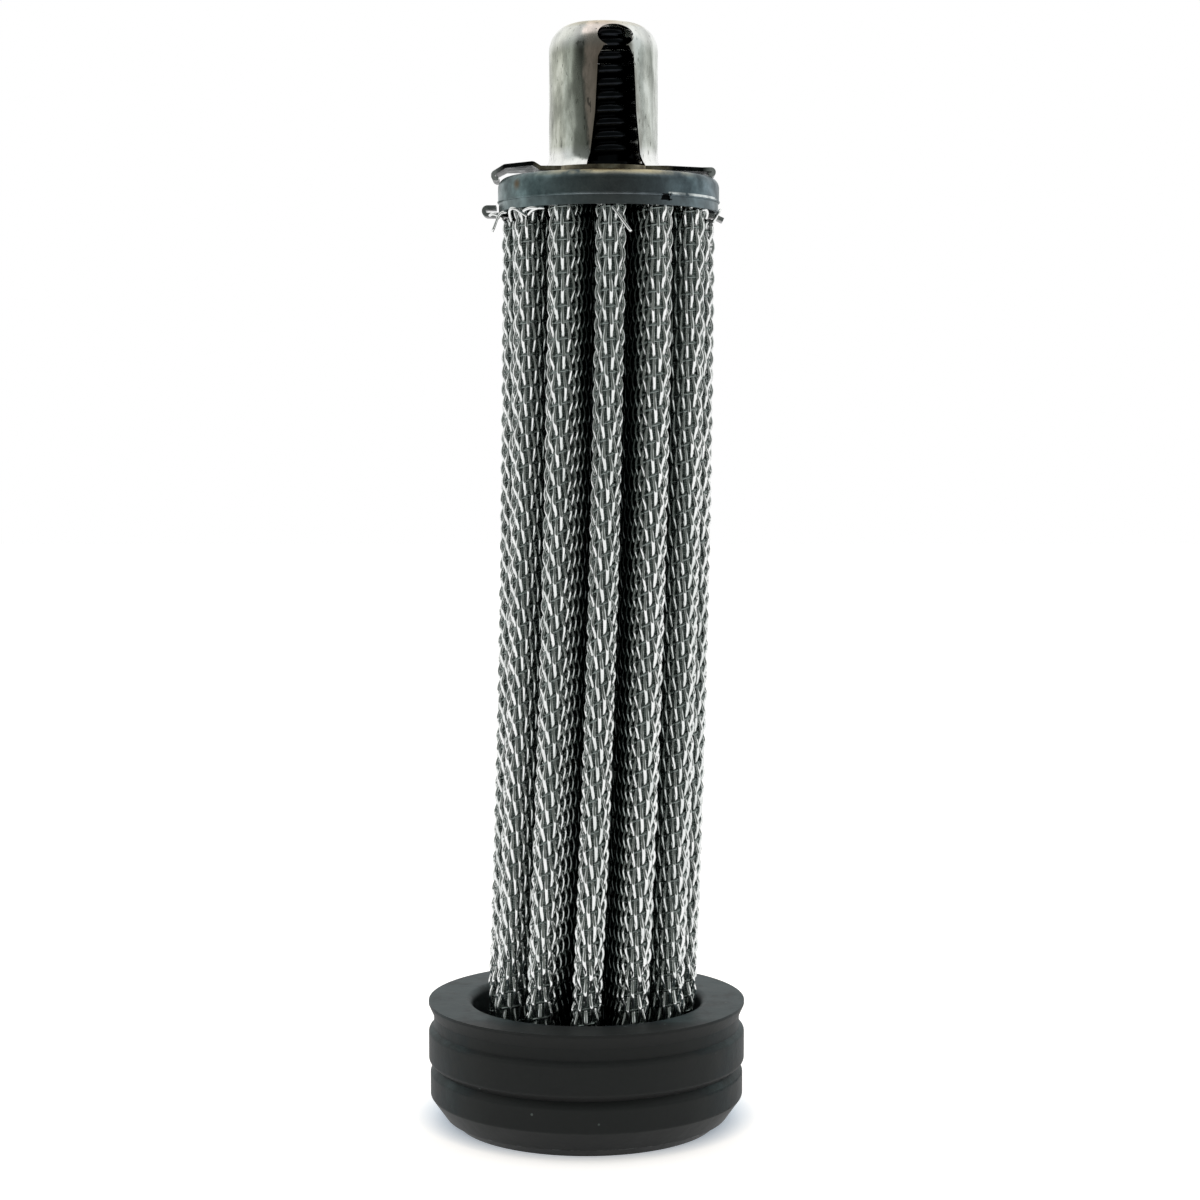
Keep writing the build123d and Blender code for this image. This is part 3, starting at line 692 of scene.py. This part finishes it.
def brightPlate():
    material, tree, shader = startMaterial("worn_nickel_plate", Metallic=1.0)
    where, share, height = roundPlace(tree, dome["centre"])
    foot, crown = dome["foot"] * mm, dome["crown"] * mm
    tall = add(tree, "Mapping", {"Vector": where, "Scale": (1.0, 1.0, 0.35)}).outputs[0]
    cloud = add(tree, "TexNoise", {"Vector": tall, "Scale": perMetre(dome["cloudSize"]),
                                   "Detail": 7.0, "Roughness": 0.62}).outputs["Fac"]
    # painted reflections: the tint round the dome, leaning with height
    lean = add(tree, "MapRange", {"Value": height, "From Min": foot, "From Max": crown,
                                  "To Min": -dome["reflectionLean"], "To Max": 0.0}).outputs[0]
    wander = add(tree, "MapRange", {"Value": cloud, "To Min": -0.03, "To Max": 0.03}).outputs[0]
    moved = add(tree, "Math", {0: lean, 1: wander}).outputs[0]
    around = add(tree, "Math", {0: share, 1: moved}).outputs[0]
    broad, thin = (add(tree, "ValToRGB", {"Fac": around}, stops=dome[name]).outputs[0]
                   for name in ("round", "roundLow"))
    low, high = dome["thinBelow"]
    above = add(tree, "MapRange", {"Value": height, "From Min": low * mm,
                                   "From Max": high * mm}).outputs[0]
    tint = add(tree, "Mix", {0: above, 6: thin, 7: broad}, data_type="RGBA").outputs[2]
    shade = add(tree, "ValToRGB", {"Fac": cloud}, stops=dome["cloud"]).outputs[0]
    base = add(tree, "Mix", {0: 0.75, 6: tint, 7: shade}, data_type="RGBA",
               blend_type="MULTIPLY").outputs[2]
    upShare = add(tree, "MapRange", {"Value": height, "From Min": foot,
                                     "From Max": crown}).outputs[0]
    # painted highlight: the shoulder and the foot are painted white
    highlighted = add(tree, "ValToRGB", {"Fac": upShare}, stops=dome["paintedHighlight"]).outputs[0]
    deep, high = dome["crownHighlightDeep"]
    crownHighlighted = add(tree, "MapRange", {"Value": height, "From Min": (dome["crown"] - deep) * mm,
                                    "From Max": (dome["crown"] - high) * mm,
                                    "To Max": 0.7}).outputs[0]
    dots = add(tree, "TexNoise", {"Vector": tall, "Scale": perMetre(dome["speckSize"]),
                                  "Detail": 3.0}).outputs["Fac"]
    specks = add(tree, "MapRange", {"Value": dots, "From Min": 0.64, "From Max": 0.7,
                                    "To Max": 0.75}).outputs[0]
    for cover, code in ((highlighted, "#ffffff"), (crownHighlighted, dome["crownHighlight"]), (specks, dome["speck"])):
        base = add(tree, "Mix", {0: cover, 6: base, 7: colour(code)},
                   data_type="RGBA").outputs[2]
    tree.links.new(base, shader.inputs["Base Color"])
    rough = add(tree, "MapRange", {"Value": cloud, "From Min": 0.3, "From Max": 0.65,
                                   "To Min": 0.34, "To Max": 0.14}).outputs[0]
    tree.links.new(rough, shader.inputs["Roughness"])
    dents = add(tree, "TexNoise", {"Vector": where, "Scale": perMetre(dome["dentSize"]),
                                   "Detail": 2.0}).outputs["Fac"]
    bump = add(tree, "Bump", {"Height": dents, "Strength": 0.3, "Distance": 1.2 * mm}).outputs[0]
    tree.links.new(bump, shader.inputs["Normal"])
    return material


# oiled spring steel strip: near black on its arms, dry and dull under the dome, with a painted
# highlight on its curled ends and painted shade on its undersides
stripLook = {
    "middle": 2.1,  # mm, and how far from it the curled ends get a painted highlight, and the strip is dry
    "paintedGlintFrom": (12.2, 13.2),
    "dryTo": (7.4, 8.6),
    "cloudSize": 1.5,
    "dark": [(0.35, "#101111"), (0.55, "#1d2020"), (0.75, "#3e4443")],
    "paintedGlint": [(0.35, "#8b908e"), (0.55, "#c3c7c5"), (0.7, "#e6e9e7")],
    "dry": [(0.35, "#6f675a"), (0.55, "#a39a84"), (0.7, "#c4c0b0")],
    "under": "#0a0b0b",  # painted shade: the undersides are painted near black
}


def oiledStrip():
    material, tree, shader = startMaterial("oiled_spring_steel", Metallic=1.0)
    source = add(tree, "TexCoord").outputs
    where = source["Object"]
    cloud = add(tree, "TexNoise", {"Vector": where, "Scale": perMetre(stripLook["cloudSize"]),
                                   "Detail": 6.0}).outputs["Fac"]
    side = add(tree, "SeparateXYZ", {0: where}).outputs["X"]
    aside = add(tree, "Math", {0: side, 1: stripLook["middle"] * mm},
                operation="SUBTRACT").outputs[0]
    away = add(tree, "Math", {0: aside}, operation="ABSOLUTE").outputs[0]
    # painted highlight on the curled ends
    near, far = stripLook["paintedGlintFrom"]
    end = add(tree, "MapRange", {"Value": away, "From Min": near * mm,
                                 "From Max": far * mm}).outputs[0]
    near, far = stripLook["dryTo"]
    underDome = add(tree, "MapRange", {"Value": away, "From Min": far * mm,
                                       "From Max": near * mm}).outputs[0]
    dark, paintedGlint, dry = (add(tree, "ValToRGB", {"Fac": cloud}, stops=stripLook[name]).outputs[0]
                         for name in ("dark", "paintedGlint", "dry"))
    # painted shade: faces that look down are painted near black
    up = add(tree, "SeparateXYZ", {0: source["Normal"]}).outputs["Z"]
    under = add(tree, "MapRange", {"Value": up, "From Min": -0.3, "From Max": -0.8,
                                   "To Max": 0.85}).outputs[0]
    base = dark
    for cover, look in ((underDome, dry), (end, paintedGlint), (under, colour(stripLook["under"]))):
        base = add(tree, "Mix", {0: cover, 6: base, 7: look}, data_type="RGBA").outputs[2]
    tree.links.new(base, shader.inputs["Base Color"])
    rough = add(tree, "MapRange", {"Value": cloud, "From Min": 0.3, "From Max": 0.7,
                                   "To Min": 0.45, "To Max": 0.25}).outputs[0]
    tree.links.new(rough, shader.inputs["Roughness"])
    return material


# three finishes of one cloud each: its size in mm, its detail, its two colours and its surface
plainLooks = {
    # blackened wire, also on the plate under it: dark, with thin highlights along the coils
    "blackened_spring_wire": (2.0, 4.0, "#18191b", "#26292d",
                              {"Metallic": 1.0, "Roughness": 0.15}),
    # pressed fibre washer: brown, with short fibres
    "pressed_fibre": (0.6, 5.0, "#4b3a28", "#7d6850", {"Roughness": 0.8}),
    # cast resin that holds the pleats' ends: amber-brown, smooth
    "cast_resin": (3.0, 3.0, "#3b2c17", "#5f4726", {"Roughness": 0.35, "IOR": 1.55}),
}


def plainFinish(name):
    size, detail, low, high, surface = plainLooks[name]
    material, tree, shader = startMaterial(name, **surface)
    where = add(tree, "TexCoord").outputs["Object"]
    cloud = add(tree, "TexNoise", {"Vector": where, "Scale": perMetre(size),
                                   "Detail": detail}).outputs["Fac"]
    base = add(tree, "ValToRGB", {"Fac": cloud}, stops=[(0.3, low), (0.7, high)]).outputs[0]
    tree.links.new(base, shader.inputs["Base Color"])
    return material


# relief spring: ground flat at both ends, where a coil lies close to the next
spring = {
    "centre": (2.133, 0.0),
    "foot": 120.08,
    "top": 136.33,
    "lift": 4.0,  # mm that the valve plate can rise
    "wireR": 0.68,
    "coilR": 4.1,
    "pitch": 1.7,
    "turn": -40.0,
    "closed": 1.2,  # turns that the closed ends add
    "endTurn": 0.6,  # turns at each end over which the climb slows down to a share of it
    "endPace": 0.25,
    "stepsPerCoil": 40,
    "sides": 10,
}


def makeSpring(material):
    # a helix: x and y go round as cosine and sine of the turn, and z climbs by one pitch each turn
    # and less near the ends, from half a wire over the foot to half a wire under the top
    rise = spring["top"] - spring["foot"] - 2 * spring["wireR"]
    turns = rise / spring["pitch"] + spring["closed"]
    steps = int(turns * spring["stepsPerCoil"])
    t = np.linspace(0, turns, steps)
    fromEnd = np.minimum(t, turns - t) / spring["endTurn"]
    pace = np.clip(fromEnd, 0.0, 1.0) ** 2 + spring["endPace"]
    climbed = np.concatenate([[0], np.cumsum((pace[1:] + pace[:-1]) / 2)])
    z = spring["foot"] + spring["wireR"] + rise * climbed / climbed[-1]
    angle = 2 * np.pi * t + math.radians(spring["turn"])
    c, q = np.cos(angle), np.sin(angle)
    cx, cy = spring["centre"]
    centre = np.stack([cx + spring["coilR"] * c, cy + spring["coilR"] * q, z], axis=-1)
    out = np.stack([c, q, 0 * angle], axis=-1)
    keep = np.ones((1, steps), bool)
    points, faces = wire(centre[None], out[None], spring["wireR"], spring["sides"], keep)
    piece = makePiece("relief_spring", points, faces, material, "cartridge")
    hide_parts("valve_spring")
    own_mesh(piece)
    print(piece.name, triangleCount(piece), "triangles")


# torn wires at the cap, where the mesh is cut for the lower strip, and one that has sprung out of
# the front pleat. Each is four points in mm, from its held end to its free end
tornWires = {
    "radius": 0.19,
    "samples": 14,
    "sides": 6,
    "across": (0.35, 0.2, 0.9),  # a direction that none of them follows
    "curves": [
        [(-9.0, -6.6, 112.6), (-9.5, -7.0, 113.9), (-9.2, -7.3, 114.5), (-8.2, -7.6, 113.9)],
        [(-8.3, -7.5, 113.9), (-7.9, -7.8, 113.7), (-7.5, -8.0, 113.4), (-7.1, -8.2, 113.1)],
        [(-9.6, -4.4, 113.9), (-10.9, -4.2, 114.1), (-10.8, -4.1, 112.9), (-11.5, -4.0, 111.6)],
        [(-7.5, -9.2, 113.6), (-7.0, -9.6, 114.1), (-6.2, -10.0, 114.0), (-5.5, -10.3, 113.9)],
        [(-6.9, -9.2, 113.2), (-6.5, -9.7, 113.8), (-5.9, -10.1, 114.0), (-5.0, -10.6, 113.9)],
        [(3.1, -12.9, 114.0), (3.7, -13.25, 113.2), (4.5, -13.3, 112.1), (5.4, -13.3, 110.9)],
        [(-10.2, -2.6, 113.2), (-10.9, -2.9, 113.8), (-11.5, -2.7, 114.0), (-11.9, -2.2, 113.7)],
        [(15.6, -3.0, 112.8), (16.0, -3.3, 113.5), (16.3, -3.2, 114.1), (16.5, -2.7, 114.3)],
        [(14.6, -5.8, 113.0), (14.9, -6.1, 113.7), (14.7, -6.4, 114.2), (14.1, -6.7, 114.0)],
    ],
}


def makeTornWires(material):
    # cubic curves: the four points weighted by the powers of t and 1 - t, each a tube of one radius
    t = np.linspace(0, 1, tornWires["samples"])[:, None]
    weights = [(1 - t) ** 3, 3 * t * (1 - t) ** 2, 3 * t**2 * (1 - t), t**3]
    centre = np.stack([sum(w * np.array(p) for w, p in zip(weights, curve))
                       for curve in tornWires["curves"]])
    along = np.gradient(centre, axis=1)
    out = np.cross(along, np.array(tornWires["across"]))
    keep = np.ones(centre.shape[:2], bool)
    points, faces = wire(centre, out, tornWires["radius"], tornWires["sides"], keep)
    piece = makePiece("torn_wires", points, faces, material, "cartridge",
                      tone=np.zeros(len(points)))
    print(piece.name, triangleCount(piece), "triangles")


wireFinish = drawnWire()
clothFinish = fineCloth()
makeWeave(wireFinish)
makeTornWires(wireFinish)
makeLayer("filter_mesh", clothFinish)
makeLayer("inner_mesh", clothFinish)
print("mesh layers made")

zinc = zincPlate()
resin = plainFinish("cast_resin")
strip = oiledStrip()
blackened = plainFinish("blackened_spring_wire")
makeSpring(blackened)
for node, finish in {
    "rubber_collar": nitrileRubber(),
    "lower_cup": zinc,
    "lower_bond": resin,
    "core_tube": zinc,
    "seam_clip": zinc,
    "upper_bond": resin,
    "end_cap": zinc,
    "lower_strip": strip,
    "upper_strip": strip,
    "seat_washer": plainFinish("pressed_fibre"),
    "valve_plate": blackened,
    "valve_cage": brightPlate(),
}.items():
    dress(node, finish)
print("finishes on")

# studio: a soft white tent, dim on the camera's side, and a white sheet that ends a little way in
# front
studio = {
    "floorSize": 3.0,
    "camera": (0.00171, -0.310, 0.0881),
    "pitch": -4.06,  # degrees, down
    "lens": 74.4,
    "sensor": 36.0,
    "near": 0.01,
    "far": 20,
    "light": 1.1,  # the tent's strength
    # from straight behind the object to the camera's side
    "tent": [(0.0, "#ffffff"), (0.4, "#f0f0ee"), (0.5, "#d4d8d8"), (0.66, "#c6cac8"),
             (0.74, "#666a66"), (1.0, "#5c605d")],
    "overhead": "#f6f6f4",
    "overheadFrom": (0.45, 0.85),  # how high a ray looks where the tent turns white again
    "overheadFront": (0.62, 0.72),  # and how far to the camera's side where it doesn't
    "sheetEnd": 0.34,  # m in front of the object, in reflections
    "sheetFade": 0.06,
    "beyond": "#5c605d",
    "middle": (0, 0.004, 0),  # of the painted shadow tint and the glow near the foot
    "paper": "#f8f6f4",
    "footShadowTint": "#dfe8f2",  # painted shadow tint: faintly blue close to the foot
    "footShadowReach": (0.0185, 0.0225),
    "nearGlow": 0.3,  # the part of the floor's white that shadows don't take, near and far
    "farGlow": 0.68,
    "glowReach": (0.017, 0.0225),
}


def makeFloor():
    # white paper: to the camera it also glows, and least at the foot, so that it comes out white
    # and keeps a soft shadow there, with a faint blue painted shadow tint close to it. Metal sees
    # it as a plain white sheet
    half = studio["floorSize"] / 2
    mesh = bpy.data.meshes.new("floor")
    corners = [(-half, -half, 0), (half, -half, 0), (half, half, 0), (-half, half, 0)]
    mesh.from_pydata(corners, [], [(0, 1, 2, 3)])
    floor = bpy.data.objects.new("floor", mesh)
    bpy.context.scene.collection.objects.link(floor)
    material = bpy.data.materials.new("white_paper")
    material.use_nodes = True
    tree = material.node_tree
    tree.nodes.clear()
    where = add(tree, "TexCoord").outputs["Object"]
    at = add(tree, "SeparateXYZ", {0: where}).outputs
    away = add(tree, "VectorMath", {0: where, 1: studio["middle"]},
               operation="DISTANCE").outputs["Value"]
    # painted shadow: a faint blue tint close to the foot
    near, far = studio["footShadowReach"]
    reach = add(tree, "MapRange", {"Value": away, "From Min": near, "From Max": far}).outputs[0]
    tint = add(tree, "Mix", {0: reach, 6: colour(studio["footShadowTint"]),
                             7: colour(studio["paper"])}, data_type="RGBA").outputs[2]
    paper = add(tree, "BsdfDiffuse", {"Color": tint}).outputs[0]
    path = add(tree, "LightPath").outputs
    near, far = studio["glowReach"]
    glow = add(tree, "MapRange", {"Value": away, "From Min": near, "From Max": far,
                                  "To Min": studio["nearGlow"],
                                  "To Max": studio["farGlow"]}).outputs[0]
    lift = add(tree, "Math", {0: path["Is Camera Ray"], 1: glow}, operation="MULTIPLY").outputs[0]
    white = add(tree, "Emission", {"Color": tint, "Strength": lift}).outputs[0]
    seen = add(tree, "AddShader", {0: paper, 1: white}).outputs[0]
    end = add(tree, "MapRange", {"Value": at["Y"],
                                 "From Min": -studio["sheetEnd"] - studio["sheetFade"],
                                 "From Max": -studio["sheetEnd"]}).outputs[0]
    sheet = add(tree, "Mix", {0: end, 6: colour(studio["beyond"]), 7: (1, 1, 1, 1)},
                data_type="RGBA").outputs[2]
    mirrored = add(tree, "Emission", {"Color": sheet, "Strength": 1.0}).outputs[0]
    glossy = add(tree, "Math", {0: path["Is Glossy Ray"], 1: path["Is Transmission Ray"]},
                 operation="MAXIMUM").outputs[0]
    mixed = add(tree, "MixShader", {0: glossy, 1: seen, 2: mirrored}).outputs[0]
    add(tree, "OutputMaterial", {"Surface": mixed})
    mesh.materials.append(material)


def makeWorld():
    # the tent lights the object and shows in its metal, and to the camera it is plain white
    world = bpy.data.worlds.new("tent")
    bpy.context.scene.world = world
    world.use_nodes = True
    tree = world.node_tree
    tree.nodes.clear()
    look = add(tree, "TexCoord").outputs["Generated"]
    at = add(tree, "SeparateXYZ", {0: look}).outputs
    front = add(tree, "MapRange", {"Value": at["Y"], "From Min": 1.0,
                                   "From Max": -1.0}).outputs[0]
    sides = add(tree, "ValToRGB", {"Fac": front}, stops=studio["tent"]).outputs[0]
    # overhead it is white again, but not over the camera's side
    low, high = studio["overheadFrom"]
    up = add(tree, "MapRange", {"Value": at["Z"], "From Min": low, "From Max": high}).outputs[0]
    clear, dim = studio["overheadFront"]
    behind = add(tree, "MapRange", {"Value": front, "From Min": dim,
                                    "From Max": clear}).outputs[0]
    over = add(tree, "Math", {0: up, 1: behind}, operation="MULTIPLY").outputs[0]
    tent = add(tree, "Mix", {0: over, 6: sides, 7: colour(studio["overhead"])},
               data_type="RGBA").outputs[2]
    path = add(tree, "LightPath").outputs
    white = add(tree, "Background", {"Color": (1, 1, 1, 1), "Strength": 1.0}).outputs[0]
    light = add(tree, "Background", {"Color": tent, "Strength": studio["light"]}).outputs[0]
    mixed = add(tree, "MixShader", {0: path["Is Camera Ray"], 1: light, 2: white}).outputs[0]
    add(tree, "OutputWorld", {"Surface": mixed})


def makeCamera():
    data = bpy.data.cameras.new("camera")
    data.lens = studio["lens"]
    data.sensor_width = studio["sensor"]
    data.clip_start = studio["near"]
    data.clip_end = studio["far"]
    camera = bpy.data.objects.new("camera", data)
    bpy.context.scene.collection.objects.link(camera)
    camera.location = studio["camera"]
    camera.rotation_euler = (math.radians(90 + studio["pitch"]), 0, 0)
    bpy.context.scene.camera = camera


makeFloor()
makeWorld()
makeCamera()
bpy.context.scene.view_settings.view_transform = "Standard"
print("studio ready")
